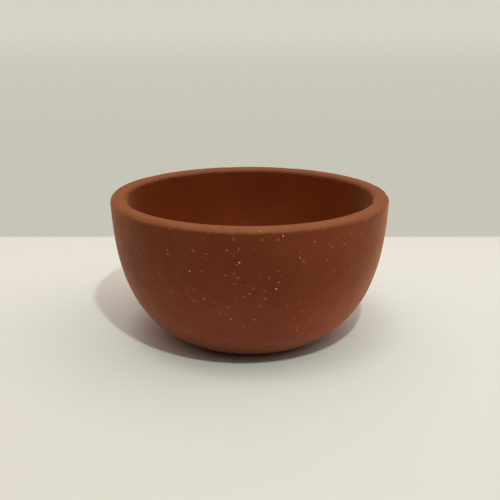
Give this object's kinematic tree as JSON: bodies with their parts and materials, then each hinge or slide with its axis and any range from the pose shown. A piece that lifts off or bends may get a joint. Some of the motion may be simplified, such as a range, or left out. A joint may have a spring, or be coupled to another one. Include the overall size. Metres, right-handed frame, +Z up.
{
  "type": "tea bowl",
  "caption": "Small handle-less tea bowl of unglazed red-brown stoneware with a rounded body that turns under to a narrow base, a plain soft lip and a low foot ring, for drinking tea.",
  "frame": {"origin": "on the bowl's axis, at the surface that the foot ring stands on", "axes": "+Z up along the bowl's axis, towards its mouth; X and Y are alike, because the bowl is round"},
  "size_m": [0.065, 0.065, 0.034],
  "materials": {
    "red_stoneware": "unglazed matt to satin red-brown stoneware with fine pale sand grains"
  },
  "bodies": {
    "root": {"bowl_wall": "red_stoneware", "floor_disc": "red_stoneware", "foot_ring": "red_stoneware"}
  },
  "joints": []
}
